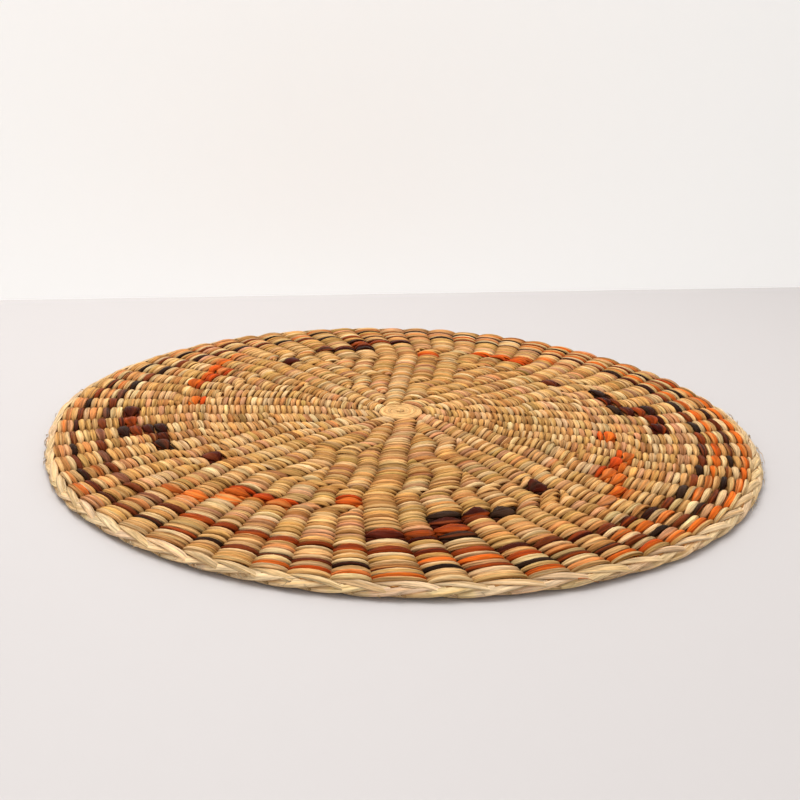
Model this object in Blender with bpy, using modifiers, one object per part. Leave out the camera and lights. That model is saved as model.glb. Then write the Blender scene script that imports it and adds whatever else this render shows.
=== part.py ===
"""A round placemat twined from water hyacinth, lying flat.

Flat stakes run from the centre to the edge, and a pair of weft strands is twisted round them row after row,
so the mat is ribbed from the centre outwards, one rib for each stake. New stakes are slipped in as the mat
grows. At the edge the stakes' ends are plaited into a rim. Mat and rim are one piece, so this is one solid:
a turned disc whose points are raised into the ribs and the plait. Metres, +Z up, the underside at z = 0.
"""

import math

import bpy
import numpy as np

# The mat
MAT_RADIUS = 0.175
RIB_HEIGHT = 0.0068
VALLEY_DEPTH = 0.0017
SMOOTH_CENTRE = 0.16
ARCH_FULLNESS = 0.7
WEAVE_OFFSET = (-0.0017, -0.0010)
PLAITED_SHARE = 0.08

# The plaited rim
RIM_WIDTH = 0.0053
RIM_HEIGHT = 0.0056
RIM_GROOVE_HEIGHT = 0.0040
RIM_ANGLES = (125, 90, 50, 0, -48)
PLAIT_DEPTH = 0.0007
PLAIT_SCALLOP = 0.0004

# Where the first slot starts, in degrees, and how far the outline strays from a circle
FIRST_SLOT_ANGLE = 183.0
OVAL = 0.0008
OVAL_ANGLE = -8.0
FLAT_SPOT = 0.0026
FLAT_SPOT_ANGLE = 197.0
FLAT_SPOT_SPREAD = 16.0
INWARD_FADE = 3

# The disc's points: meridians for each rib, and the rings of the top as shares of the radius
MERIDIANS_PER_RIB = 4
TOP_RINGS = (0.06, 0.17, 0.29, 0.42, 0.54, 0.66, 0.79, 0.945)
MERGE_DISTANCE = 0.00001

# The slots of the dyed design, anticlockwise from FIRST_SLOT_ANGLE.
# Columns: the widths of a slot's ribs along the rim, in millimetres.
SLOTS = (
    (19.5, 17.0, 18.5, 14.5, 18.5, 14.5, 15.0, 14.5),
    (16.5, 16.0, 19.0, 13.0, 16.0, 14.0, 16.0, 14.5),
    (20.0, 16.0, 20.5, 17.0, 17.5, 16.0, 15.0, 14.5),
    (17.5, 16.0, 19.0, 17.0, 13.5, 15.5, 18.5, 18.5),
    (18.0, 17.5, 19.0, 17.0, 18.5, 16.5, 18.0, 18.0),
    (18.5, 17.0, 19.0, 16.5, 18.0, 17.5, 19.0, 17.5),
    (17.5, 18.5, 17.0, 19.0, 17.5, 18.0, 16.5, 18.5),
    (18.0, 19.0, 17.5, 18.5, 17.5, 18.0, 18.0, 16.0),
)

# The stakes slipped in as the mat grows, one in each slot.
# Columns: the stake's place in its slot, and the radii between which its rib widens, as shares of the radius.
ADDED_STAKES = (
    (7, 0.64, 0.71),
    (6, 0.53, 0.58),
    (3, 0.44, 0.54),
    (1, 0.34, 0.43),
    (5, 0.25, 0.33),
    (2, 0.16, 0.24),
    (4, 0.08, 0.15),
)
CLOSED_SHARE = 0.02

# How many degrees the ribs swing back from their places at the rim, every 45 degrees round the mat, at the
# first two shares of the radius. They swing no further inside the first, and not at all from the third on.
SWING_SHARES = (0.60, 0.72, 0.93)
SWING_INSIDE = (7.3, 6.5, 5.6, 4.8, 4.2, 4.8, 5.4, 7.0, 7.3)
SWING_MIDWAY = (5.6, 4.4, 3.1, 1.9, 1.2, 1.6, 2.7, 4.4, 5.6)

FIBRE_COLOR = (0.66, 0.47, 0.26, 1.0)
FIBRE_ROUGHNESS = 0.65


def clear_scene():
    """Remove every object, so that the file starts empty."""
    for old in list(bpy.data.objects):
        bpy.data.objects.remove(old, do_unlink=True)


def smooth_step(value, low, high):
    """0 up to low, 1 from high on, and a smooth slope between them."""
    t = np.clip((value - low) / (high - low), 0.0, 1.0)
    return t * t * (3.0 - 2.0 * t)


def stakes():
    """Each stake's rim width and the radii between which its rib opens, in order round the mat."""
    widths, opens, opened = [], [], []
    for slot in SLOTS:
        spans = [(-2.0, -1.0)] * len(slot)
        for place, low, high in ADDED_STAKES:
            spans[place] = (low, high)
        widths.extend(slot)
        opens.extend(low for low, high in spans)
        opened.extend(high for low, high in spans)
    return np.array(widths), np.array(opens), np.array(opened)


def openness(share):
    """How far each stake's rib has opened at a share of the mat's radius, from 0 to 1."""
    widths, opens, opened = stakes()
    return np.maximum(smooth_step(share, opens, opened), CLOSED_SHARE)


def rib_edges(share):
    """The valleys' angles in degrees at a share of the radius, one more than there are ribs."""
    widths = stakes()[0] * openness(share)
    return FIRST_SLOT_ANGLE + np.concatenate([[0.0], np.cumsum(widths)]) * 360.0 / widths.sum()


def swing(angle, share):
    """How many degrees the ribs have swung back at an angle and a share of the radius."""
    around = angle % 360.0 / 45.0
    inside = np.interp(around, np.arange(len(SWING_INSIDE)), SWING_INSIDE)
    midway = np.interp(around, np.arange(len(SWING_MIDWAY)), SWING_MIDWAY)
    first, second, last = SWING_SHARES
    back = inside + (midway - inside) * np.clip((share - first) / (second - first), 0.0, 1.0)
    return back * np.clip((last - share) / (last - second), 0.0, 1.0)


def rib_count():
    """How many stakes reach the rim."""
    return sum(len(slot) for slot in SLOTS)


def profile_points():
    """The turned disc's half section, from the top of the axis out over the rim and back under."""
    rim = RIM_WIDTH / 2
    middle = MAT_RADIUS - rim
    rise = RIM_HEIGHT / 2
    points = [(0.0, RIB_HEIGHT)]
    points += [(share * MAT_RADIUS, RIB_HEIGHT) for share in TOP_RINGS]
    points.append((MAT_RADIUS - RIM_WIDTH, RIM_GROOVE_HEIGHT))
    for degrees in RIM_ANGLES:
        angle = math.radians(degrees)
        points.append((middle + rim * math.cos(angle), rise + rise * math.sin(angle)))
    points.append((middle, 0.0))
    points.append((0.0, 0.0))
    return points


def turned_disc():
    """The profile swept round the axis with a Screw modifier, applied to a new mesh."""
    points = profile_points()
    outline = bpy.data.meshes.new("mat_profile")
    outline.from_pydata([(x, 0.0, z) for x, z in points], [(i, i + 1) for i in range(len(points) - 1)], [])
    sweep = bpy.data.objects.new("mat_sweep", outline)
    bpy.context.scene.collection.objects.link(sweep)
    screw = sweep.modifiers.new("turn", "SCREW")
    screw.steps = MERIDIANS_PER_RIB * rib_count()
    screw.render_steps = screw.steps
    screw.use_merge_vertices = True
    screw.merge_threshold = MERGE_DISTANCE
    bpy.context.view_layer.update()
    shown = sweep.evaluated_get(bpy.context.evaluated_depsgraph_get())
    mesh = bpy.data.meshes.new_from_object(shown)
    bpy.data.objects.remove(sweep, do_unlink=True)
    return mesh


def rib_rise(angle, share):
    """How far the top stands below full height: an arch over each stake, with a valley on each side."""
    edges = rib_edges(share)
    opening = openness(share)
    place = np.interp((angle - FIRST_SLOT_ANGLE) % 360.0 + FIRST_SLOT_ANGLE, edges, np.arange(len(edges)))
    stake = np.minimum(place.astype(int), len(opening) - 1)
    arch = np.abs(np.sin(math.pi * (place - stake))) ** ARCH_FULLNESS * opening[stake]
    return -VALLEY_DEPTH * (1.0 - arch) * smooth_step(share, 0.0, SMOOTH_CENTRE)


def plait(stake_place, across):
    """The plait's rise: ridges that run outwards on the rim's inner half and back on its outer half."""
    lean = 0.5 * (1.0 - np.abs(across))
    return PLAIT_DEPTH * (np.cos(2.0 * math.pi * (stake_place + lean)) - 1.0) / 2.0


def shape_points(flat):
    """Move the turned disc's points: meridians to the stakes, ribs and plait raised, outline uneven."""
    x, y, z = flat.T
    radius = np.hypot(x, y)
    share = radius / MAT_RADIUS
    turn = np.degrees(np.arctan2(y, x)) % 360.0
    stake_place = turn / 360.0 * rib_count()
    angle = np.interp(stake_place, np.arange(rib_count() + 1), rib_edges(1.0))
    rim_start = MAT_RADIUS - RIM_WIDTH
    on_top = z > RIM_GROOVE_HEIGHT - MERGE_DISTANCE
    for ring in np.unique(radius[on_top & (radius < rim_start - MERGE_DISTANCE) & (radius > 0)].round(6)):
        here = on_top & (np.abs(radius - ring) < MERGE_DISTANCE)
        z[here] += rib_rise(angle[here], ring / MAT_RADIUS)
    on_rim = (radius > rim_start + MERGE_DISTANCE) & (z > MERGE_DISTANCE)
    across = (radius - rim_start) / RIM_WIDTH * 2.0 - 1.0
    upper = on_rim & (z > RIM_HEIGHT / 2 + MERGE_DISTANCE)
    z[upper] += plait(stake_place[upper], across[upper])
    edge = on_rim & ~upper
    radius[edge] += PLAIT_SCALLOP * (np.cos(2.0 * math.pi * stake_place[edge]) - 1.0)
    oval = OVAL * np.cos(2.0 * np.radians(angle - OVAL_ANGLE))
    from_spot = (angle % 360.0 - FLAT_SPOT_ANGLE) / FLAT_SPOT_SPREAD
    spot = FLAT_SPOT * np.exp(-from_spot ** 2)
    radius += (oval - spot) * share ** INWARD_FADE
    inward = smooth_step(1.0 - share, 0.0, PLAITED_SHARE)
    angle -= swing(angle, share)
    x = radius * np.cos(np.radians(angle)) + WEAVE_OFFSET[0] * inward
    y = radius * np.sin(np.radians(angle)) + WEAVE_OFFSET[1] * inward
    return np.stack([x, y, z], axis=1)


def woven_mat():
    """The mat's one solid, centred on its box and standing on z = 0."""
    mesh = turned_disc()
    mesh.name = "woven_mat"
    flat = np.empty(len(mesh.vertices) * 3, np.float32)
    mesh.vertices.foreach_get("co", flat)
    points = shape_points(flat.reshape(-1, 3).astype(float))
    points[:, :2] -= (points[:, :2].min(axis=0) + points[:, :2].max(axis=0)) / 2.0
    mesh.vertices.foreach_set("co", points.astype(np.float32).ravel())
    mesh.update()
    mesh.shade_smooth()
    return bpy.data.objects.new("woven_mat", mesh)


def fibre_material():
    """Dried water hyacinth, undyed."""
    material = bpy.data.materials.new("hyacinth_fibre")
    material.use_nodes = True
    shader = material.node_tree.nodes["Principled BSDF"]
    shader.inputs["Base Color"].default_value = FIBRE_COLOR
    shader.inputs["Roughness"].default_value = FIBRE_ROUGHNESS
    shader.inputs["Metallic"].default_value = 0.0
    return material


def main():
    clear_scene()
    collection = bpy.data.collections.new("water_hyacinth_placemat")
    bpy.context.scene.collection.children.link(collection)
    mat = woven_mat()
    mat.data.materials.append(fibre_material())
    collection.objects.link(mat)


main()
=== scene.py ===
"""A round placemat twined from water hyacinth, lying on a pale table.

Flat stakes run out from the centre. A pair of weft strands is twisted round them in a long spiral: at each
stake one strand of the pair shows on top as a low pillow and the other shows underneath, and they change
places between the stakes. Some rows and blocks are of dyed strands. A strand that is laid round and round
makes the rim, and the stakes' ends are folded over on it.

The mat is described by a stake place, which counts stakes anticlockwise from the spiral's seam, and a row
number, which counts rows outwards from the centre. Lengths are metres and angles are degrees.
"""

import math

import bpy
import numpy as np
from mathutils import Matrix, Vector


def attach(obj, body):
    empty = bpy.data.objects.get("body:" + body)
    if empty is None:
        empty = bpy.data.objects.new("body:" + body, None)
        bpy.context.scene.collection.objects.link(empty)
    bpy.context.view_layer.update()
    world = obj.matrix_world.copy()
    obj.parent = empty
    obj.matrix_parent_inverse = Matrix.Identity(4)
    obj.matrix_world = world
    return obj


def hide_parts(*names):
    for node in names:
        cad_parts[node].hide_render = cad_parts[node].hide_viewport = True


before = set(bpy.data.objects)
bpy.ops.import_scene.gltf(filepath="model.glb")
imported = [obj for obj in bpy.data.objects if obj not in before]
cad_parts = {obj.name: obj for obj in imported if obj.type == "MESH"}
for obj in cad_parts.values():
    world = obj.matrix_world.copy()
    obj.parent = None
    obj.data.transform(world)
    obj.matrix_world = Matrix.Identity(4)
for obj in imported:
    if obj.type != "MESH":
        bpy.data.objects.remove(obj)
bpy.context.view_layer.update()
SEED = 11
rng = np.random.default_rng(SEED)

# The mat, as in the solid that it replaces
MAT_RADIUS = 0.175
WEAVE_OFFSET = (-0.0017, -0.0010)
PLAITED_SHARE = 0.08
MID_HEIGHT = 0.0034
UNDERSIDE = 0.00005
FIRST_SLOT_ANGLE = 183.0
OVAL = 0.0008
OVAL_ANGLE = -8.0
FLAT_SPOT = 0.0026
FLAT_SPOT_ANGLE = 197.0
FLAT_SPOT_SPREAD = 16.0
INWARD_FADE = 3
RIM_WIDTH = 0.0053

# The slots of the dyed design, anticlockwise. Columns: the ribs' widths along the rim, in millimetres.
SLOTS = (
    (19.5, 17.0, 18.5, 14.5, 18.5, 14.5, 15.0, 14.5),
    (16.5, 16.0, 19.0, 13.0, 16.0, 14.0, 16.0, 14.5),
    (20.0, 16.0, 20.5, 17.0, 17.5, 16.0, 15.0, 14.5),
    (17.5, 16.0, 19.0, 17.0, 13.5, 15.5, 18.5, 18.5),
    (18.0, 17.5, 19.0, 17.0, 18.5, 16.5, 18.0, 18.0),
    (18.5, 17.0, 19.0, 16.5, 18.0, 17.5, 19.0, 17.5),
    (17.5, 18.5, 17.0, 19.0, 17.5, 18.0, 16.5, 18.5),
    (18.0, 19.0, 17.5, 18.5, 17.5, 18.0, 18.0, 16.0),
)
SLOT_STAKES = 8
SEAM_SLOT = 6

# Columns: an added stake's place in each slot, and the shares of the radius between which its rib widens.
ADDED_STAKES = (
    (7, 0.64, 0.71),
    (6, 0.53, 0.58),
    (3, 0.44, 0.54),
    (1, 0.34, 0.43),
    (5, 0.25, 0.33),
    (2, 0.16, 0.24),
    (4, 0.08, 0.15),
)
SLIPPED_IN = 0.22

# How many degrees the ribs swing back from their places at the rim, every 45 degrees round the mat, at the
# first two shares of the radius. They swing no further inside the first, and not at all from the third on.
SWING_SHARES = (0.60, 0.72, 0.93)
SWING_INSIDE = (7.3, 6.5, 5.6, 4.8, 4.2, 4.8, 5.4, 7.0, 7.3)
SWING_MIDWAY = (5.6, 4.4, 3.1, 1.9, 1.2, 1.6, 2.7, 4.4, 5.6)

# The dyes, as screen colours from 0 to 255
DYES = {
    "bleached": (255, 231, 192),
    "pale": (254, 222, 176),
    "cream": (254, 212, 155),
    "straw": (246, 193, 126),
    "gold": (236, 175, 100),
    "tan": (218, 149, 84),
    "olive": (224, 172, 98),
    "pink": (232, 168, 120),
    "peach": (244, 158, 90),
    "orange": (244, 117, 34),
    "deep_orange": (216, 78, 14),
    "red_brown": (172, 72, 22),
    "brown": (134, 62, 28),
    "maroon": (80, 26, 12),
    "mauve": (140, 84, 60),
    "charcoal": (58, 36, 24),
}
UNDYED = ("cream", "straw", "straw", "straw", "gold", "gold", "tan", "olive", "pink")
GLOSSY = ("red_brown", "brown", "maroon", "mauve", "charcoal")

# The dyes that run in streaks along a pillow of each dye
STREAK_DYES = {
    "bleached": ("pale", "bleached", "cream"),
    "pale": ("cream", "pale", "straw"),
    "cream": ("straw", "gold", "cream"),
    "straw": ("cream", "gold", "tan"),
    "gold": ("straw", "tan", "cream"),
    "tan": ("gold", "pink", "straw"),
    "olive": ("straw", "gold", "tan"),
    "pink": ("tan", "straw", "peach"),
    "peach": ("orange", "straw", "pink"),
    "orange": ("peach", "deep_orange", "gold"),
    "deep_orange": ("orange", "red_brown", "deep_orange"),
    "red_brown": ("brown", "maroon", "red_brown"),
    "brown": ("red_brown", "maroon", "tan"),
    "maroon": ("brown", "red_brown", "charcoal"),
    "mauve": ("brown", "pink", "charcoal"),
    "charcoal": ("brown", "charcoal", "maroon"),
}

# The border rows from the rim inwards. Columns: the pair's two dyes and the row's width in millimetres.
BORDER_ROWS = (
    ("straw", "cream", 1.7),
    ("orange", "orange", 3.0),
    ("cream", "straw", 3.1),
    ("brown", "charcoal", 2.6),
    ("straw", "cream", 2.9),
    ("orange", "orange", 3.5),
    ("cream", "straw", 2.2),
    ("red_brown", "brown", 4.2),
)
FIELD_ROW_WIDTH = 0.00292
FIRST_ROW_RADIUS = 0.0118
ROW_UNEVENNESS = 0.00012

# The innermost border row changes its dyes on the way round. Columns: where a run starts, and its two dyes.
CHANGING_ROW = 7
CHANGING_RUNS = (
    (-60.0, "charcoal", "brown"),
    (90.0, "brown", "charcoal"),
    (172.0, "mauve", "brown"),
    (238.0, "red_brown", "red_brown"),
    (288.0, "brown", "maroon"),
    (311.0, "charcoal", "brown"),
)
# The share of a border row's pillows that have the row's own dye. The orange rows are strongest on one side
# of the mat and turn paler towards the other, so theirs is a mean and how far it swings.
UNDYED_SHARE = 0.6
DYED_SHARE = 0.96
ORANGE_SHARE = 0.26
ORANGE_SWING = 0.62
STRONGEST_ANGLE = 345.0
FADED = ("peach", "peach", "straw", "gold")
# For how many stakes an undyed shade runs on: from the first number up to, but not including, the second
SHADE_RUN = (3, 8)

# The stepped blocks of a dark slot and of a warm one. Columns: the stake's place in the slot, the first
# row inwards from the slot's own first row, and the pillows from there inwards, as how many rows each one
# covers and its dye.
DARK_BLOCKS = (
    (0, 0, ((3, "maroon"),)),
    (1, 0, ((1, "maroon"), (2, "red_brown"))),
    (2, 0, ((2, "charcoal"), (2, "red_brown"), (2, "maroon"), (2, "charcoal"))),
    (3, 5, ((1, "brown"), (2, "maroon"))),
    (4, 5, ((3, "charcoal"),)),
    (6, 10, ((3, "maroon"),)),
)
WARM_BLOCKS = (
    (0, 0, ((2, "peach"),)),
    (1, 0, ((1, "peach"), (2, "orange"))),
    (2, 3, ((2, "orange"), (2, "orange"), (1, "deep_orange"))),
    (3, 5, ((1, "orange"), (2, "deep_orange"))),
    (4, 5, ((2, "orange"), (1, "deep_orange"))),
    (6, 9, ((2, "orange"), (1, "deep_orange"))),
)
# Each slot's blocks, and the row, counted inwards from the rim, where they start
SLOT_BLOCKS = (
    (DARK_BLOCKS, 10),
    (WARM_BLOCKS, 10),
    (DARK_BLOCKS, 10),
    (WARM_BLOCKS, 12),
    (DARK_BLOCKS, 12),
    (WARM_BLOCKS, 10),
    (DARK_BLOCKS, 10),
    (WARM_BLOCKS, 11),
)
# Broad pillows: what each further row that one covers adds to its breadth, in rows, and to its height. The
# strands of the covered rows are pressed down under it and are narrower.
BROAD_WIDENING = 0.92
BROAD_LIFT = 0.0003
PRESSED_DOWN = 0.0011
PRESSED_BREADTH = 0.8

# The weft strand: half sizes over a stake, its width there as a share of the row's, and where the pair
# cross
OVER_HALF_WIDTH = 1.06
OVER_HALF_THICKNESS = 0.00088
CROSS_HALF_WIDTH = 0.00075
CROSS_HALF_THICKNESS = 0.00082
PAIR_RISE = 0.0024
PAIR_SPREAD = 0.48
PILLOW_FULLNESS = 0.42
PILLOW_SQUARENESS = 0.62
# How high in its arch a pillow has its full breadth, shift and lift
SHOWN_AT = 0.75
# The grooves along a strand: how many of its ridges are grooves, how deep, and how dark their painted shade
# is
GROOVES = 0.24
GROOVE_DEPTH = 0.15
GROOVE_SHADE = 0.6
# Painted shade darkens a strand towards a crossing and turns warmer, by these powers for red, green and
# blue.
CROSS_SHADE = 0.55
CROSS_SHADE_POWER = 0.6
SHADOW_POWERS = (1.0, 1.15, 1.4)
GROOVE_POWERS = (1.0, 1.2, 1.5)
# Between which random numbers a ridge turns from the pillow's own dye to its streak's
STREAK_RANGE = (0.55, 0.95)

# How far one pillow differs from the next: metres, then shares, then radians
HUMP_LIFT = 0.00016
HUMP_DRIFT = 0.00020
HUMP_WIDENING = 0.07
RIDGES = 0.05
HUMP_SHADE = 0.09
HUMP_TINT = 0.025
HUMP_ROLL = 0.13

# The weft's pieces. Columns: the rows from and up to, counted inwards from the rim, the places of the rings
# in a stake and the points in a ring.
FINE_STEPS = (0.0, 0.05, 0.15, 0.3, 0.5, 0.7, 0.85, 0.95)
PLAIN_STEPS = (0.0, 0.06, 0.18, 0.36, 0.64, 0.82, 0.94)
ZONES = (
    ("weft_border", 0, 8, FINE_STEPS, 12),
    ("weft_outer", 8, 16, FINE_STEPS, 12),
    ("weft_middle", 16, 26, FINE_STEPS, 10),
    ("weft_inner", 26, 60, PLAIN_STEPS, 8),
)

# The stakes: width as a share of the rib's, half thickness, a ring in every so many rows, the tip's width
# as a share of the rest's, the radii between which they thicken, points in a ring, and how dark they are
STAKE_SHARE = 0.78
STAKE_HALF_THICKNESS = 0.0013
STAKE_ROW_STEP = 3
STAKE_TIP_SHARE = 0.6
STAKE_TAPER = (-0.010, 0.03)
STAKE_POINTS = 8
STAKE_SHADES = (0.6, 0.9)

# The rim's dyes, how dark a length of it may be, and how much less green and blue each may have
RIM_DYES = ("pale", "cream")
RIM_SHADES = (0.88, 1.0)
YELLOWING = (0.0, 0.5, 1.0)

# The rim's plaited strand
PLAIT_LAPS = 3
PLAIT_CENTRE = 0.0030
PLAIT_HEIGHT = 0.0024
PLAIT_REACH = 0.0014
PLAIT_RISE = 0.0010
PLAIT_HALF_WIDTH = 0.0015
PLAIT_SWELL = 0.0004
PLAIT_HALF_THICKNESS = 0.0008
PLAIT_TILT = 0.65
PLAIT_STEPS = 10
PLAIT_POINTS = 14
# How it strays: sideways, in height and in width, each with its spacing in rings
PLAIT_WANDER = 0.00014
WANDER_SPACING = 14
PLAIT_WAVE = 0.00012
WAVE_SPACING = 11
PLAIT_WIDENING = 0.07
RIDGE_SPACING = 15
# Its ridges and grooves, its streaks, and the painted shade that darkens it underneath and in the grooves
PLAIT_RIDGES = 0.04
PLAIT_GROOVES = (0.8, 1.5)
PLAIT_GROOVE_DEPTH = 0.14
PLAIT_GROOVE_PAINTED_SHADE = 0.3
PLAIT_STREAKS = (0.2, 1.4)
PLAIT_YELLOWING = 0.16
PLAIT_SHADED = 0.0014
PLAIT_SHADE = 0.7

# The stakes' folded ends, which lie on the rim: where each runs from and to, in stakes past its own valley,
# in metres inside the mat's edge and in height, and its half sizes
FOLD_FROM = -0.06
FOLD_TO = 1.58
FOLD_INNER = 0.0056
FOLD_OUTER = 0.0010
FOLD_START_HEIGHT = 0.0035
FOLD_END_HEIGHT = 0.0014
FOLD_RISE = 0.0021
FOLD_HALF_WIDTH = 0.0017
FOLD_HALF_THICKNESS = 0.0006
FOLD_TILT = 0.5
FOLD_STEPS = 16
FOLD_POINTS = 14
# How full its arch is, how far one strays from the next, and what its ends keep of its width and thickness
FOLD_FULLNESS = 0.8
FOLD_SQUARENESS = 0.65
FOLD_WANDER = 0.00022
FOLD_WIDTHS = (0.86, 1.08)
FOLD_ROLL = 0.1
FOLD_END_WIDTH = 0.2
FOLD_END_THICKNESS = 0.6
# Its streaks, and the painted shade that darkens its grooves and its tucked-in ends
FOLD_STREAKS = (0.4, 1.0)
FOLD_YELLOWING = 0.14
FOLD_GROOVE_SHADE = 0.75
FOLD_END_SHADE = 0.7
FOLD_SHADE_RANGE = (0.0, 0.6)

# The centre's coils. Columns of COILS: height over the weave's middle, and where its streaks start.
COILS = ((0.0018, 9.0), (-0.0018, 10.0))
COIL_TURNS = 3.3
COIL_STEPS = 100
COIL_EASE = 0.6
COIL_GAP = 0.0008
COIL_SHADES = (0.85, 0.2)
COIL_POINTS = 9
COIL_START = 0.0012
COIL_HALF_WIDTH = 0.0017
COIL_HALF_THICKNESS = 0.0010

# The loose fibres: how many, in how many tufts, and the range of each random measure. A fibre's length is
# the shortest plus a random part, with a power that makes long ones rare.
FRAYED_FIBRES = 220
FRAYED_TUFTS = 34
TUFT_SPREAD = 0.5
FIBRE_DYES = ("bleached", "pale", "bleached", "cream")
FIBRE_SHORTEST = 0.0016
FIBRE_LENGTHENING = 0.0036
FIBRE_RARITY = 2.5
FIBRE_BENDS = (0.3, 1.1)
FIBRE_DEPTHS = (0.0002, 0.0010)
FIBRE_HEIGHTS = (0.0016, 0.0040)
FIBRE_THICKNESSES = (0.00012, 0.00034)
# A loose fibre's shape: how far it reaches out, slows, curls along the edge, rises, sinks and thins
FIBRE_STEPS = 6
FIBRE_POINTS = 3
FIBRE_REACH = 0.4
FIBRE_SLOWING = 0.35
FIBRE_CURL_POWER = 1.6
FIBRE_RISE = 0.12
FIBRE_DROP = 0.5
FIBRE_LOWEST = 0.0006
FIBRE_THINNING = 0.75
# Three curls. Columns: angle, length in metres, how far it swings, dye.
CURL_THICKNESS = 0.00022
CURLS = (
    (291.0, 0.0080, 0.9, "orange"),
    (253.0, 0.0075, -0.8, "cream"),
    (214.0, 0.0090, 0.7, "cream"),
)

# What a tube's points carry for the material, in the order in which dressed() gives them. Columns: the
# attribute, its type and the field that holds its values.
POINT_LAYERS = (
    ("dye", "FLOAT_COLOR", "color"),
    ("gloss", "FLOAT", "value"),
    ("fibre", "FLOAT_VECTOR", "vector"),
)
# Where tubes start in the streaks' noise, so that no two run alike, and a tube's radius there, in metres
ROW_START = 0.37
STRAND_START = 5.0
STAKE_START = 3.0
FOLD_START = 2.0
STREAK_RADIUS = 0.0009
# The streaks. Columns: the noise's scale along and across a strand, its detail, its darkest, its brightest.
FINE_STREAKS = ((140.0, 2600.0, 2600.0), 3.0, 0.60, 1.26)
COARSE_STREAKS = ((55.0, 900.0, 900.0), 2.0, 0.72, 1.16)
NOISE_ROUGHNESS = 0.6
NOISE_RANGE = (0.3, 0.7)
# The surface. Columns: the shader's input, its value undyed and its value dyed dark.
SURFACE = (("Roughness", 0.62, 0.30), ("Specular IOR Level", 0.06, 0.02))
BUMP_STRENGTH = 1.0
BUMP_DISTANCE = 0.0006

# The backdrop, the light and the camera. The wall's foot is given by two points of it on the table.
WALL_FOOT = ((-0.3127, 0.2393), (0.3703, 0.3959))
TABLE_COLOR = (208, 203, 202)
WALL_COLOR = (241, 240, 238)
BACKDROP_ROUGHNESS = 0.6
TABLE_DROP = 0.0002
TABLE_REACH = 3.0
WALL_MARGIN = 2.0
WALL_HEIGHT = 2.5
WALL_GLOW = 0.25
SKY_COLOR = (1.0, 0.995, 0.99, 1.0)
SKY_STRENGTH = 0.70
WINDOW_PLACE = (-0.25, 0.14, 0.98)
WINDOW_SIZE = 0.7
WINDOW_POWER = 6.5
WINDOW_COLOR = (1.0, 0.99, 0.975)
CAMERA_PLACE = (-0.008, -2.482, 0.921)
CAMERA_TILT = 19.02
CAMERA_ROLL = 1.864
CAMERA_LENS = 40.16
SENSOR_WIDTH = 36.0
CLIP_START = 0.01


def smooth_step(value, low, high):
    """0 up to low, 1 from high on, and the cubic 3t^2 - 2t^3 between them."""
    t = np.clip((value - low) / (high - low), 0.0, 1.0)
    return t * t * (3.0 - 2.0 * t)


def linear(screen):
    """A screen colour from 0 to 255 as linear light."""
    c = np.array(screen, float) / 255.0
    return np.where(c <= 0.04045, c / 12.92, ((c + 0.055) / 1.055) ** 2.4)


DYE_NAMES = list(DYES)
DYE_COLORS = np.array([linear(c) for c in DYES.values()])
DYE_GLOSS = np.array([1.0 if name in GLOSSY else 0.0 for name in DYE_NAMES])
STREAKS = [[DYE_NAMES.index(name) for name in STREAK_DYES[dye]] for dye in DYE_NAMES]


def dye_numbers(names):
    """The dyes' numbers in DYE_NAMES."""
    return np.array([DYE_NAMES.index(name) for name in names])


def uneven_radius(angle):
    """What the mat's edge adds to a true circle at an angle: a slight oval less one flatter stretch."""
    oval = OVAL * np.cos(2.0 * np.radians(angle - OVAL_ANGLE))
    return oval - FLAT_SPOT * np.exp(-(((angle % 360.0 - FLAT_SPOT_ANGLE) / FLAT_SPOT_SPREAD) ** 2))


def mat_centre():
    """What the mat is moved by so that the middle of its box is at the origin."""
    angle = np.arange(0.0, 360.0, 0.25)
    radius = MAT_RADIUS + uneven_radius(angle)
    edge = np.stack([radius * np.cos(np.radians(angle)), radius * np.sin(np.radians(angle))])
    return -(edge.min(axis=1) + edge.max(axis=1)) / 2.0


CENTRE = mat_centre()


def swing(angle, share):
    """How many degrees the ribs have swung back at an angle and a share of the radius."""
    around = angle % 360.0 / 45.0
    inside = np.interp(around, np.arange(len(SWING_INSIDE)), SWING_INSIDE)
    midway = np.interp(around, np.arange(len(SWING_MIDWAY)), SWING_MIDWAY)
    first, second, last = SWING_SHARES
    back = inside + (midway - inside) * np.clip((share - first) / (second - first), 0.0, 1.0)
    return back * np.clip((last - share) / (last - second), 0.0, 1.0)


def place(radius, angle, height):
    """Points of the mat: polar places, with the ribs' swing, the uneven outline and the weave's offset."""
    share = radius / MAT_RADIUS
    swung = angle - swing(angle, share)
    inward = smooth_step(1.0 - share, 0.0, PLAITED_SHARE)
    radius = radius + uneven_radius(angle) * share ** INWARD_FADE
    turn = np.radians(swung)
    x = radius * np.cos(turn) + WEAVE_OFFSET[0] * inward + CENTRE[0]
    y = radius * np.sin(turn) + WEAVE_OFFSET[1] * inward + CENTRE[1]
    return np.stack([x, y, height + 0.0 * x], axis=-1)


def outward(angle):
    """The level direction away from the mat's centre."""
    turn = np.radians(angle)
    return np.stack([np.cos(turn), np.sin(turn), 0.0 * turn], axis=-1)


def seam_stakes():
    """The stakes' rim widths and opening radii, counted from the slot that has the spiral's seam."""
    order = [(SEAM_SLOT + step) % len(SLOTS) for step in range(len(SLOTS))]
    widths = np.array([width for slot in order for width in SLOTS[slot]])
    opens = np.full((SLOT_STAKES, 2), -1.0) + (0.0, 0.5)
    for slot_place, low, high in ADDED_STAKES:
        opens[slot_place] = (low, high)
    return widths, np.tile(opens, (len(SLOTS), 1))


STAKE_WIDTHS, STAKE_OPENS = seam_stakes()
STAKES = len(STAKE_WIDTHS)
SEAM_ANGLE = FIRST_SLOT_ANGLE + sum(map(sum, SLOTS[:SEAM_SLOT])) * 360.0 / STAKE_WIDTHS.sum()


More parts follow.
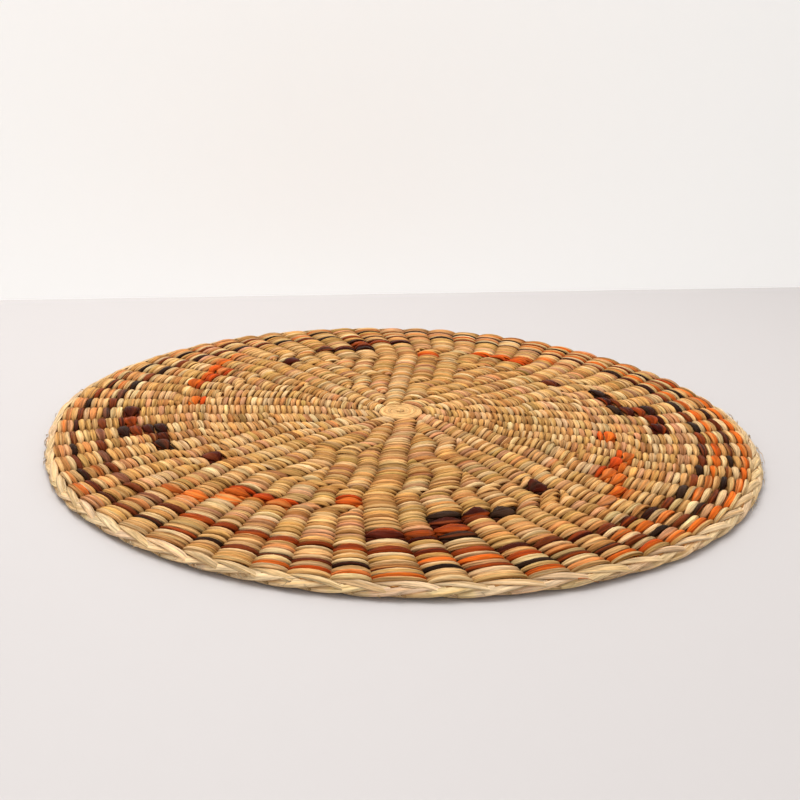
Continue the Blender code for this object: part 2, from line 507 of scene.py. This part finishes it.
def row_stakes(share):
    """The stakes that reach a share of the radius, and the angles of the valleys beside them, one more."""
    opened = smooth_step(share, STAKE_OPENS[:, 0], STAKE_OPENS[:, 1])
    there = np.flatnonzero(opened > SLIPPED_IN)
    widths = STAKE_WIDTHS[there] * opened[there]
    return there, SEAM_ANGLE + np.concatenate([[0.0], np.cumsum(widths)]) * 360.0 / widths.sum()


def row_edges():
    """The radii between the rows, outwards: the field's even rows and then the border's."""
    border = np.array([width for first, second, width in BORDER_ROWS])[::-1] / 1000.0
    field_edge = MAT_RADIUS - RIM_WIDTH - border.sum()
    rows = round((field_edge - FIRST_ROW_RADIUS) / FIELD_ROW_WIDTH)
    field = np.linspace(FIRST_ROW_RADIUS, field_edge, rows + 1)
    uneven = rng.normal(0.0, ROW_UNEVENNESS, rows + 1) * (np.arange(rows + 1) < rows)
    return np.concatenate([field + uneven, field_edge + np.cumsum(border)])


ROW_EDGES = row_edges()
ROWS = len(ROW_EDGES) - 1


def border_pair(dyed, middle, undyed):
    """A border row's dyes for both strands, given the angles at its stakes and the undyed shades there."""
    pair = undyed.copy()
    for strand, name in enumerate(dyed[:2]):
        strength = np.full(len(middle), UNDYED_SHARE if name in UNDYED else DYED_SHARE)
        if name == "orange":
            strength = ORANGE_SHARE + ORANGE_SWING * np.cos(np.radians(middle - STRONGEST_ANGLE))
            pair[strand] = dye_numbers(FADED)[rng.integers(0, len(FADED), len(middle))]
        taken = rng.random(len(middle)) < strength
        pair[strand, taken] = DYE_NAMES.index(name)
    return pair


def dye_cells():
    """For each row its stakes, its valleys' angles, both strands' dyes at each stake and, there too, the
    top pillow's breadth and shift outwards as shares of the row's width, and its lift in metres."""
    shades = dye_numbers(UNDYED)
    cells = []
    for row in range(ROWS):
        there, edges = row_stakes((ROW_EDGES[row] + ROW_EDGES[row + 1]) / 2.0 / MAT_RADIUS)
        middle = ((edges[:-1] + edges[1:]) / 2.0) % 360.0
        run = int(rng.integers(*SHADE_RUN))
        kinds = shades[rng.integers(0, len(shades), (2, len(there) // run + 2))]
        pair = kinds[:, (np.arange(len(there)) + int(rng.integers(0, run))) // run]
        from_rim = ROWS - 1 - row
        if from_rim < len(BORDER_ROWS):
            pair = border_pair(BORDER_ROWS[from_rim], middle, pair)
        if from_rim == CHANGING_ROW:
            for start, first, second in CHANGING_RUNS:
                inside = (middle - start) % 360.0 < 180.0
                pair[:, inside & (middle >= start)] = dye_numbers((first, second))[:, None]
        cells.append((there, edges, pair, np.ones(len(there)), np.zeros(len(there)), np.zeros(len(there))))
    for slot, (blocks, start) in enumerate(SLOT_BLOCKS):
        first_stake = (slot - SEAM_SLOT) % len(SLOTS) * SLOT_STAKES
        for slot_place, step, pillows in blocks:
            from_rim = start + step
            for covered, name in pillows:
                first_row = ROWS - 1 - from_rim
                lay_pillow(cells, first_stake + slot_place, first_row, covered, DYE_NAMES.index(name))
                from_rim += covered
    return cells


def lay_pillow(cells, stake, row, covered, dye):
    """Lay one dyed pillow over a stake in cells, from a row inwards over as many rows as it covers. Its
    strand is in the middle row, moved to the pillow's middle, and the others are pressed under it."""
    middle = row - covered // 2
    for here in range(row - covered + 1, row + 1):
        there, _, pair, breadth, aside, lift = cells[here]
        column = np.searchsorted(there, stake, side="right") - 1
        pair[:, column] = dye
        if here == middle:
            breadth[column] = 1.0 + BROAD_WIDENING * (covered - 1)
            aside[column] = (row - covered + 1 + row) / 2.0 - middle
            lift[column] = BROAD_LIFT * (covered - 1)
        else:
            breadth[column] = PRESSED_BREADTH
            lift[column] = -PRESSED_DOWN


CELLS = dye_cells()
ROW_LINE = np.arange(-1, ROWS + 1)
ROW_HALVES = np.interp(ROW_LINE, np.arange(ROWS), np.diff(ROW_EDGES) / 2.0)
ROW_CENTRES = np.concatenate(
    [
        [ROW_EDGES[0] - ROW_HALVES[0]],
        (ROW_EDGES[:-1] + ROW_EDGES[1:]) / 2.0,
        [ROW_EDGES[-1] + ROW_HALVES[-1]],
    ]
)


def tube(path, side, half_width, half_thickness, section, closed=False, roll=0.0):
    """Rings of an oval tube: each ring has half_width along side and half_thickness along side x ahead.

    section is (rings, points, 2): how far each point of a ring stands along those two directions. side is
    first made square to the path, and roll turns it about the path. No point is left below UNDERSIDE, where
    the mat is pressed flat by the table.
    """
    ahead = np.roll(path, -1, axis=0) - np.roll(path, 1, axis=0)
    if not closed:
        ahead[0] = path[1] - path[0]
        ahead[-1] = path[-1] - path[-2]
    ahead /= np.linalg.norm(ahead, axis=1, keepdims=True)
    side = side - (side * ahead).sum(axis=1, keepdims=True) * ahead
    side /= np.linalg.norm(side, axis=1, keepdims=True)
    top = np.cross(side, ahead)
    turn = np.broadcast_to(roll, len(path))[:, None]
    side, top = side * np.cos(turn) + top * np.sin(turn), top * np.cos(turn) - side * np.sin(turn)
    along_side = section[..., 0] * np.broadcast_to(half_width, len(path))[:, None]
    along_top = section[..., 1] * np.broadcast_to(half_thickness, len(path))[:, None]
    rings = path[:, None] + along_side[..., None] * side[:, None] + along_top[..., None] * top[:, None]
    rings[..., 2] = rings[..., 2].clip(UNDERSIDE)
    return rings


def oval(points):
    """A ring's places round an oval of half sizes 1, starting at the side and going over the top."""
    turn = np.arange(points) * 2.0 * math.pi / points
    return np.stack([np.cos(turn), np.sin(turn)], axis=-1)


def dressed(rings, colour, gloss, start, closed=False):
    """A tube with what its material reads: colour, gloss, and fibre coordinates, which are the length along
    the tube and the place round it, in metres."""
    count, around = rings.shape[:2]
    middle = rings.mean(axis=1)
    steps = np.linalg.norm(np.diff(middle, axis=0), axis=1)
    along = start + np.concatenate([[0.0], np.cumsum(steps)])
    fibre = np.empty((count, around, 3))
    fibre[..., 0] = along[:, None]
    fibre[..., 1:] = oval(around) * STREAK_RADIUS
    colour = np.clip(colour, 0.0, 1.0)
    rgba = np.ones((count, around, 4))
    rgba[..., :3] = colour if colour.ndim == 3 else colour[:, None]
    return rings, rgba, np.broadcast_to(np.reshape(gloss, (-1, 1)), (count, around)), fibre, closed


def woven_piece(name, tubes, material):
    """One mesh object made of dressed tubes, with closed ends."""
    faces, start = [], 0
    for rings, rgba, gloss, fibre, closed in tubes:
        count, around = rings.shape[:2]
        first = np.arange(count if closed else count - 1)[:, None] * around
        here, beside = np.arange(around), np.roll(np.arange(around), -1)
        last = (first + around) % (count * around)
        quads = np.stack([first + here, last + here, last + beside, first + beside], axis=-1).reshape(-1, 4)
        faces += (quads + start).tolist()
        if not closed:
            faces.append((here + start).tolist())
            faces.append((here[::-1] + start + (count - 1) * around).tolist())
        start += count * around
    mesh = bpy.data.meshes.new(name)
    mesh.from_pydata(np.concatenate([t[0].reshape(-1, 3) for t in tubes]), [], faces)
    mesh.shade_smooth()
    for column, (layer, kind, field) in enumerate(POINT_LAYERS, 1):
        values = np.concatenate([t[column].ravel() for t in tubes]).astype(np.float32)
        mesh.attributes.new(layer, kind, "POINT").data.foreach_set(field, values)
    mesh.materials.append(material)
    piece = bpy.data.objects.new(name, mesh)
    bpy.context.scene.collection.objects.link(piece)
    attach(piece, "root")
    return piece


def weft_strand(rows, strand, steps, points):
    """One strand of the weft pair along some rows of the spiral, with steps as the ring places in a stake
    and that many points in a ring.

    At stake place u = k + f the strand's height is MID_HEIGHT + s PAIR_RISE sin(pi f)^PILLOW_FULLNESS,
    with s 1 over the stakes that it passes above and -1 under the others. It stands off the row's line by a
    share of cos(pi u) to one side, and the other strand to the other, so they cross between the stakes.
    """
    path, widths, thick, sections, rolls, colours, glosses = [], [], [], [], [], [], []
    angles = []
    for row in rows:
        there, edges, pair, breadth, shift, raised = CELLS[row]
        count = len(there)
        u = (np.arange(count)[:, None] + steps).ravel()
        stake = u.astype(int)
        pillow = np.sin(math.pi * (u - stake)).clip(0.0)
        line = row + u / count - 0.5
        half = np.interp(line, ROW_LINE, ROW_HALVES)
        angle = np.interp(u, np.arange(count + 1), edges)
        above = np.where((stake + strand) % 2 == 0, 1.0, -1.0)
        lift = rng.normal(0.0, HUMP_LIFT, count)[stake]
        drift = rng.normal(0.0, HUMP_DRIFT, count)[stake] * pillow ** 2
        aside = (1.0 - 2.0 * strand) * PAIR_SPREAD * half * np.cos(math.pi * u)
        shown = (above > 0.0) * smooth_step(pillow, 0.0, SHOWN_AT)
        aside = aside + shown * shift[stake] * 2.0 * half
        radius = np.interp(line, ROW_LINE, ROW_CENTRES) + aside + drift
        rise = (PAIR_RISE + lift * pillow) * pillow ** PILLOW_FULLNESS + shown * raised[stake]
        path.append(place(radius, angle, MID_HEIGHT + above * rise))
        angles.append(angle)
        over = OVER_HALF_WIDTH * half * (1.0 + rng.normal(0.0, HUMP_WIDENING, count)[stake])
        over *= 1.0 + (breadth[stake] - 1.0) * shown
        widths.append(CROSS_HALF_WIDTH + (over - CROSS_HALF_WIDTH) * pillow ** PILLOW_SQUARENESS)
        fatness = OVER_HALF_THICKNESS * (1.0 + rng.normal(0.0, HUMP_WIDENING, count)[stake])
        thick.append(CROSS_HALF_THICKNESS + (fatness - CROSS_HALF_THICKNESS) * pillow)
        groove = rng.random((count, points)) < GROOVES
        ridges = rng.normal(0.0, RIDGES, (count, points)) - GROOVE_DEPTH * groove
        sections.append(oval(points) * (1.0 + ridges[stake] * np.sqrt(pillow)[:, None])[..., None])
        rolls.append(rng.normal(0.0, HUMP_ROLL, count)[stake] * pillow ** 2)
        shade = 1.0 + rng.normal(0.0, HUMP_SHADE, (count, 1)) + rng.normal(0.0, HUMP_TINT, (count, 3))
        # Painted shade: the colour is darker and warmer towards each crossing, where the weave shades the
        # strand
        lit = CROSS_SHADE + (1.0 - CROSS_SHADE) * pillow ** CROSS_SHADE_POWER
        own = DYE_COLORS[pair[strand]]
        second = DYE_COLORS[streak_dyes(pair[strand])]
        mixed = smooth_step(rng.random((count, points, 1)), *STREAK_RANGE)
        toned = (own[:, None] * (1.0 - mixed) + second[:, None] * mixed) * shade[:, None]
        # Painted shade in the grooves, darker and warmer than the ridges
        toned *= np.where(groove, GROOVE_SHADE, 1.0)[..., None] ** GROOVE_POWERS
        colours.append(toned[stake] * (lit[:, None] ** SHADOW_POWERS)[:, None])
        glosses.append(DYE_GLOSS[pair[strand]][stake])
    path = np.concatenate(path)
    side = outward(np.concatenate(angles))
    parts = [np.concatenate(p) for p in (widths, thick, sections, rolls, colours, glosses)]
    widths, thick, sections, rolls, colours, glosses = parts
    rings = tube(path, side, widths, thick, sections, roll=rolls)
    return dressed(rings, colours, glosses, ROW_START * rows[0] + STRAND_START * strand)


def streak_dyes(dyes):
    """For each pillow's dye another one that runs along it in streaks."""
    choices = rng.integers(0, 3, len(dyes))
    return np.array([STREAKS[dye][choice] for dye, choice in zip(dyes, choices)])


def stake_tube(stake):
    """One flat stake, from where it is slipped in out to the rim, under and over the weft's rows."""
    radii, angles, halves = [], [], []
    for row in range(0, ROWS, STAKE_ROW_STEP):
        there, edges = CELLS[row][:2]
        column = np.searchsorted(there, stake)
        if column < len(there) and there[column] == stake:
            radii.append(ROW_CENTRES[row + 1])
            angles.append((edges[column] + edges[column + 1]) / 2.0)
            halves.append(math.radians(edges[column + 1] - edges[column]) / 2.0 * radii[-1] * STAKE_SHARE)
    radii.append(MAT_RADIUS - PLAIT_CENTRE)
    angles.append(angles[-1])
    halves.append(halves[-1] * STAKE_TIP_SHARE)
    radii, angles = np.array(radii), np.array(angles)
    path = place(radii, angles, MID_HEIGHT)
    turn = np.radians(angles)
    side = np.stack([np.sin(turn), -np.cos(turn), 0.0 * turn], axis=-1)
    thick = STAKE_HALF_THICKNESS * smooth_step(radii, *STAKE_TAPER)
    section = np.broadcast_to(oval(STAKE_POINTS), (len(radii), STAKE_POINTS, 2))
    rings = tube(path, side, np.array(halves), thick, section)
    colour = DYE_COLORS[DYE_NAMES.index("tan")] * rng.uniform(*STAKE_SHADES)
    return dressed(rings, np.tile(colour, (len(radii), 1)), np.zeros(len(radii)), STAKE_START * stake)


def slow_noise(count, spacing, size):
    """Random values of that size at every spacing-th place, joined by a smooth closed curve."""
    knots = rng.normal(0.0, size, max(4, count // spacing))
    at = np.arange(count) / count * len(knots)
    low = at.astype(int)
    ease = smooth_step(at - low, 0.0, 1.0)
    return knots[low % len(knots)] * (1.0 - ease) + knots[(low + 1) % len(knots)] * ease


def plait_noise(count):
    """Slow noise of size 1 for each point of the plaited strand's rings."""
    return np.stack([slow_noise(count, RIDGE_SPACING, 1.0) for k in range(PLAIT_POINTS)], axis=1)


def rim_colour(mixed):
    """The rim's colour, from the first of its dyes at 0 to the second at 1."""
    pale, warm = (DYE_COLORS[DYE_NAMES.index(name)] for name in RIM_DYES)
    return pale * (1.0 - mixed) + warm * mixed


def rim_tints(count, yellowing):
    """For so many lengths of the rim, the share that each keeps of its red, green and blue."""
    shades = rng.uniform(*RIM_SHADES, (count, 1))
    return shades * (1.0 - rng.uniform(0.0, yellowing, (count, 3)) * YELLOWING)


def rim_plait():
    """The rim's strand, which goes round PLAIT_LAPS times and closes on itself.

    At stake place u, with p = pi / 2 - 2 pi u / PLAIT_LAPS, it stands PLAIT_REACH sin(p) outside the rim's
    middle line and PLAIT_RISE cos(p) above it. So each turn runs inwards on top and comes back underneath.
    """
    count = PLAIT_LAPS * STAKES * PLAIT_STEPS
    u = np.arange(count) / PLAIT_STEPS
    turn = math.pi / 2.0 - 2.0 * math.pi * u / PLAIT_LAPS
    angle = np.interp(u % STAKES, np.arange(STAKES + 1), row_stakes(1.0)[1])
    wander = slow_noise(count, WANDER_SPACING, PLAIT_WANDER)
    radius = MAT_RADIUS - PLAIT_CENTRE + PLAIT_REACH * np.sin(turn) + wander
    height = PLAIT_HEIGHT + PLAIT_RISE * np.cos(turn) + slow_noise(count, WAVE_SPACING, PLAIT_WAVE)
    path = place(radius, angle, height)
    ridges = plait_noise(count)
    groove = smooth_step(ridges, *PLAIT_GROOVES)
    section = oval(PLAIT_POINTS) * (1.0 + PLAIT_RIDGES * ridges - PLAIT_GROOVE_DEPTH * groove)[..., None]
    widening = slow_noise(count, RIDGE_SPACING, PLAIT_WIDENING)
    wide = (PLAIT_HALF_WIDTH + PLAIT_SWELL * np.cos(turn)) * (1.0 + widening)
    tilt = -PLAIT_TILT * np.sin(turn)
    rings = tube(path, outward(angle), wide, PLAIT_HALF_THICKNESS, section, closed=True, roll=tilt)
    colour = rim_colour(smooth_step(plait_noise(count), *PLAIT_STREAKS)[..., None])
    own = rim_tints(STAKES, PLAIT_YELLOWING)
    colour = colour * own[(u / PLAIT_LAPS).astype(int) % STAKES][:, None]
    # Painted shade: darker and warmer where the strand runs low, under its other turns, and in its grooves
    lit = smooth_step(height, PLAIT_HEIGHT - PLAIT_SHADED, PLAIT_HEIGHT)[:, None, None]
    shade = PLAIT_SHADE + (1.0 - PLAIT_SHADE) * lit
    shade = shade * (1.0 - PLAIT_GROOVE_PAINTED_SHADE * groove[..., None])
    return dressed(rings, colour * shade ** SHADOW_POWERS, np.zeros(count), 0.0, closed=True)


def folded_end(stake, edges):
    """A stake's end, folded over flat on the rim: it comes up in the valley beside its rib and runs
    outwards along the rim, over the start of the next one, and both its ends are narrow and tucked in."""
    s = np.linspace(0.0, 1.0, FOLD_STEPS)
    hump = np.sin(math.pi * s).clip(0.0)
    stake_place = (stake + FOLD_FROM + (FOLD_TO - FOLD_FROM) * s) % STAKES
    angle = np.interp(stake_place, np.arange(STAKES + 1), edges)
    wander = rng.normal(0.0, FOLD_WANDER, 2)
    radius = MAT_RADIUS - FOLD_INNER + (FOLD_INNER - FOLD_OUTER) * s + wander[0] * hump
    height = FOLD_START_HEIGHT + (FOLD_END_HEIGHT - FOLD_START_HEIGHT) * s
    height = height + FOLD_RISE * hump ** FOLD_FULLNESS
    path = place(radius, angle, height + 0.5 * wander[1] * hump)
    groove = rng.random(FOLD_POINTS) < GROOVES
    ridges = 1.0 + rng.normal(0.0, RIDGES, FOLD_POINTS) - GROOVE_DEPTH * groove
    section = oval(FOLD_POINTS) * (1.0 + (ridges - 1.0) * np.sqrt(hump)[:, None])[..., None]
    narrowed = FOLD_END_WIDTH + (1.0 - FOLD_END_WIDTH) * hump ** FOLD_SQUARENESS
    wide = FOLD_HALF_WIDTH * rng.uniform(*FOLD_WIDTHS) * narrowed
    thick = FOLD_HALF_THICKNESS * (FOLD_END_THICKNESS + (1.0 - FOLD_END_THICKNESS) * hump)
    tilt = -FOLD_TILT * s + rng.normal(0.0, FOLD_ROLL)
    rings = tube(path, outward(angle), wide, thick, section, roll=tilt)
    colour = rim_colour(smooth_step(rng.random((FOLD_POINTS, 1)), *FOLD_STREAKS))
    # Painted shade: the grooves and the tucked-in ends are darker and warmer than the rest
    shade = np.where(groove, FOLD_GROOVE_SHADE, 1.0)[:, None] ** GROOVE_POWERS
    toned = colour * rim_tints(1, FOLD_YELLOWING) * shade
    lit = FOLD_END_SHADE + (1.0 - FOLD_END_SHADE) * smooth_step(hump, *FOLD_SHADE_RANGE)
    ends = lit[:, None, None] ** SHADOW_POWERS
    return dressed(rings, toned * ends, np.zeros(FOLD_STEPS), FOLD_START * stake)


def centre_coil(height, start):
    """The plain coil of strand that closes the mat's centre, on top or underneath."""
    turns = np.linspace(0.0, 1.0, COIL_STEPS) ** COIL_EASE
    angle = SEAM_ANGLE - 360.0 * COIL_TURNS * (1.0 - turns)
    radius = COIL_START + (FIRST_ROW_RADIUS - COIL_GAP - COIL_START) * turns
    path = place(radius, angle, height)
    section = np.broadcast_to(oval(COIL_POINTS), (COIL_STEPS, COIL_POINTS, 2))
    rings = tube(path, outward(angle), COIL_HALF_WIDTH, COIL_HALF_THICKNESS, section)
    darkest, range_of_shades = COIL_SHADES
    shades = darkest + range_of_shades * rng.random((COIL_STEPS, 1))
    return dressed(rings, DYE_COLORS[DYE_NAMES.index("straw")] * shades, np.zeros(COIL_STEPS), start)


def frayed_fibre(angle, length, bend, thickness, colour, radius, height):
    """A hair-thin fibre that has come loose: it leaves outwards and curls along the edge."""
    s = np.linspace(0.0, 1.0, FIBRE_STEPS)
    turn = math.radians(angle)
    out = np.array([math.cos(turn), math.sin(turn), 0.0])
    along = np.array([-math.sin(turn), math.cos(turn), 0.0])
    up = np.array([0.0, 0.0, 1.0])
    reach = length * (s - FIBRE_SLOWING * s ** 2)[:, None] * FIBRE_REACH
    curl = length * bend * (s ** FIBRE_CURL_POWER)[:, None]
    rise = FIBRE_RISE * length * np.sin(math.pi * s)[:, None] * up
    drop = -FIBRE_DROP * (height - FIBRE_LOWEST) * (s ** 2)[:, None] * up
    path = place(np.array([radius]), np.array([angle]), height) + reach * out + curl * along + rise + drop
    side = np.cross(np.gradient(path, axis=0), (0.0, 0.0, 1.0))
    thick = thickness * (1.0 - FIBRE_THINNING * s)
    section = np.broadcast_to(oval(FIBRE_POINTS), (FIBRE_STEPS, FIBRE_POINTS, 2))
    rings = tube(path, side, thick, thick, section)
    return dressed(rings, np.tile(colour, (FIBRE_STEPS, 1)), np.zeros(FIBRE_STEPS), angle)


def frayed_edge():
    """The loose fibres along the rim, half of them in tufts, and the curls."""
    tubes = []
    half = FRAYED_FIBRES // 2
    tufts = rng.uniform(0.0, 360.0, FRAYED_TUFTS)
    in_tufts = tufts[rng.integers(0, FRAYED_TUFTS, half)] + rng.normal(0.0, TUFT_SPREAD, half)
    alone = rng.uniform(0.0, 360.0, FRAYED_FIBRES - half)
    for angle in np.concatenate([in_tufts, alone]):
        colour = DYE_COLORS[DYE_NAMES.index(FIBRE_DYES[int(rng.integers(0, len(FIBRE_DYES)))])]
        length = FIBRE_SHORTEST + FIBRE_LENGTHENING * rng.random() ** FIBRE_RARITY
        bend = rng.choice((-1.0, 1.0)) * rng.uniform(*FIBRE_BENDS)
        radius = MAT_RADIUS - rng.uniform(*FIBRE_DEPTHS)
        height = rng.uniform(*FIBRE_HEIGHTS)
        thickness = rng.uniform(*FIBRE_THICKNESSES)
        tubes.append(frayed_fibre(angle, length, bend, thickness, colour, radius, height))
    radius, height = MAT_RADIUS - FIBRE_DEPTHS[1], FIBRE_HEIGHTS[1]
    for angle, length, bend, name in CURLS:
        colour = DYE_COLORS[DYE_NAMES.index(name)]
        tubes.append(frayed_fibre(angle, length, bend, CURL_THICKNESS, colour, radius, height))
    return tubes


def node(tree, kind, **values):
    """A shader node, with values set on its properties or else on its inputs."""
    made = tree.nodes.new(kind)
    for name, value in values.items():
        if hasattr(made, name):
            setattr(made, name, value)
        else:
            made.inputs[name.replace("_", " ")].default_value = value
    return made


def streaks(tree, fibre, stretch, detail, low, high):
    """Noise stretched along the strands: its raw value, and that value brought between low and high."""
    scaled = node(tree, "ShaderNodeVectorMath", operation="MULTIPLY")
    scaled.inputs[1].default_value = stretch
    noise = node(tree, "ShaderNodeTexNoise", Scale=1.0, Detail=detail, Roughness=NOISE_ROUGHNESS)
    ranged = node(tree, "ShaderNodeMapRange")
    ranged.inputs["From Min"].default_value = NOISE_RANGE[0]
    ranged.inputs["From Max"].default_value = NOISE_RANGE[1]
    ranged.inputs["To Min"].default_value = low
    ranged.inputs["To Max"].default_value = high
    tree.links.new(fibre, scaled.inputs[0])
    tree.links.new(scaled.outputs[0], noise.inputs["Vector"])
    tree.links.new(noise.outputs["Fac"], ranged.inputs["Value"])
    return noise.outputs["Fac"], ranged.outputs["Result"]


def hyacinth_material():
    """Dried water hyacinth: the strand's own colour, streaked along its fibres, dull unless dyed dark."""
    material = bpy.data.materials.new("hyacinth_fibre")
    material.use_nodes = True
    tree = material.node_tree
    shader = tree.nodes["Principled BSDF"]
    dye = node(tree, "ShaderNodeAttribute", attribute_name="dye")
    fibre = node(tree, "ShaderNodeAttribute", attribute_name="fibre").outputs["Vector"]
    gloss = node(tree, "ShaderNodeAttribute", attribute_name="gloss")
    fine, fine_shade = streaks(tree, fibre, *FINE_STREAKS)
    coarse, coarse_shade = streaks(tree, fibre, *COARSE_STREAKS)
    shade = node(tree, "ShaderNodeMath", operation="MULTIPLY")
    tree.links.new(fine_shade, shade.inputs[0])
    tree.links.new(coarse_shade, shade.inputs[1])
    shaded = node(tree, "ShaderNodeVectorMath", operation="SCALE")
    tree.links.new(dye.outputs["Color"], shaded.inputs[0])
    tree.links.new(shade.outputs[0], shaded.inputs["Scale"])
    tree.links.new(shaded.outputs[0], shader.inputs["Base Color"])
    for name, undyed, dark in SURFACE:
        ranged = node(tree, "ShaderNodeMapRange")
        ranged.inputs["To Min"].default_value = undyed
        ranged.inputs["To Max"].default_value = dark
        tree.links.new(gloss.outputs["Fac"], ranged.inputs["Value"])
        tree.links.new(ranged.outputs["Result"], shader.inputs[name])
    ridges = node(tree, "ShaderNodeMath", operation="ADD")
    tree.links.new(fine, ridges.inputs[0])
    tree.links.new(coarse, ridges.inputs[1])
    bump = node(tree, "ShaderNodeBump", Strength=BUMP_STRENGTH, Distance=BUMP_DISTANCE)
    tree.links.new(ridges.outputs[0], bump.inputs["Height"])
    tree.links.new(bump.outputs["Normal"], shader.inputs["Normal"])
    return material


def plain_material(name, screen, roughness):
    """A matt material of one colour."""
    material = bpy.data.materials.new(name)
    material.use_nodes = True
    shader = material.node_tree.nodes["Principled BSDF"]
    shader.inputs["Base Color"].default_value = (*linear(screen), 1.0)
    shader.inputs["Roughness"].default_value = roughness
    return material


def backdrop():
    """The table top and the wall behind it, neither of which belongs to the mat."""
    left, right = (Vector((x + CENTRE[0], y + CENTRE[1], -TABLE_DROP)) for x, y in WALL_FOOT)
    along = (right - left).normalized()
    left, right = left - along * WALL_MARGIN, right + along * WALL_MARGIN
    front = Vector((along.y, -along.x, 0.0)) * TABLE_REACH
    rise = Vector((0.0, 0.0, WALL_HEIGHT))
    stage = []
    corners = {
        "table_top": (left - front, left + front, right + front, right - front),
        "wall": (left, right, right + rise, left + rise),
    }
    for name, points in corners.items():
        mesh = bpy.data.meshes.new(name)
        mesh.from_pydata(points, [], [(0, 1, 2, 3)])
        colour = TABLE_COLOR if name == "table_top" else WALL_COLOR
        mesh.materials.append(plain_material(name, colour, BACKDROP_ROUGHNESS))
        stage.append(bpy.data.objects.new(name, mesh))
        bpy.context.scene.collection.objects.link(stage[-1])
    glow_in_front(stage[1].data.materials[0])
    stage[1].visible_shadow = False


def glow_in_front(material):
    """Let a material glow a little on its front, and be clear from behind, where it would hide the mat."""
    tree = material.node_tree
    shader = tree.nodes["Principled BSDF"]
    shader.inputs["Emission Color"].default_value = (*linear(WALL_COLOR), 1.0)
    shader.inputs["Emission Strength"].default_value = WALL_GLOW
    side = tree.nodes.new("ShaderNodeNewGeometry")
    clear = tree.nodes.new("ShaderNodeBsdfTransparent")
    mix = tree.nodes.new("ShaderNodeMixShader")
    tree.links.new(side.outputs["Backfacing"], mix.inputs["Fac"])
    tree.links.new(shader.outputs["BSDF"], mix.inputs[1])
    tree.links.new(clear.outputs["BSDF"], mix.inputs[2])
    tree.links.new(mix.outputs["Shader"], tree.nodes["Material Output"].inputs["Surface"])


def soft_light(name, location, size, power, colour):
    """A large square lamp that faces the mat."""
    lamp = bpy.data.lights.new(name, "AREA")
    lamp.size = size
    lamp.energy = power
    lamp.color = colour
    holder = bpy.data.objects.new(name, lamp)
    holder.location = location
    holder.rotation_euler = Vector(location).to_track_quat("Z", "Y").to_euler()
    bpy.context.scene.collection.objects.link(holder)


def studio():
    """Even daylight from all round, and one large window-like lamp above and behind."""
    world = bpy.data.worlds.new("daylight")
    world.use_nodes = True
    world.node_tree.nodes["Background"].inputs["Color"].default_value = SKY_COLOR
    world.node_tree.nodes["Background"].inputs["Strength"].default_value = SKY_STRENGTH
    bpy.context.scene.world = world
    soft_light("window", WINDOW_PLACE, WINDOW_SIZE, WINDOW_POWER, WINDOW_COLOR)
    bpy.context.scene.view_settings.view_transform = "Standard"


def camera():
    """The photograph's camera: its place in mat radii, its tilt below the horizon and its roll."""
    tilt, roll = math.radians(CAMERA_TILT), math.radians(CAMERA_ROLL)
    back = Vector((0.0, -math.cos(tilt), math.sin(tilt)))
    up = Vector((0.0, math.sin(tilt), math.cos(tilt)))
    level = Vector((1.0, 0.0, 0.0))
    right = math.cos(roll) * level + math.sin(roll) * up
    upright = -math.sin(roll) * level + math.cos(roll) * up
    lens = bpy.data.cameras.new("camera")
    lens.sensor_width = SENSOR_WIDTH
    lens.lens = CAMERA_LENS
    lens.clip_start = CLIP_START
    holder = bpy.data.objects.new("camera", lens)
    turn = Matrix((right, upright, back)).transposed().to_4x4()
    at = Vector(CAMERA_PLACE) * MAT_RADIUS + Vector((*CENTRE, 0.0))
    holder.matrix_world = Matrix.Translation(at) @ turn
    bpy.context.scene.collection.objects.link(holder)
    bpy.context.scene.camera = holder


def zone(low, high):
    """The rows whose number counted inwards from the rim is from low up to, but not including, high."""
    return [row for row in range(ROWS) if low <= ROWS - 1 - row < high]


def main():
    """Build the mat's pieces, what stands round them, the light and the camera."""
    fibre = hyacinth_material()
    for name, low, high, steps, points in ZONES:
        rows = zone(low, high)
        strands = [weft_strand(rows, strand, np.array(steps), points) for strand in (0, 1)]
        woven_piece(name, strands, fibre)
    folds = [folded_end(stake, row_stakes(1.0)[1]) for stake in range(STAKES)]
    rim = woven_piece("rim_plait", [rim_plait(), *folds], fibre)
    coils = [centre_coil(MID_HEIGHT + offset, start) for offset, start in COILS]
    centre = woven_piece("centre_coil", coils, fibre)
    frayed = woven_piece("frayed_fibres", frayed_edge(), fibre)
    stakes = woven_piece("stakes", [stake_tube(stake) for stake in range(STAKES)], fibre)
    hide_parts("woven_mat")
    backdrop()
    studio()
    camera()


main()
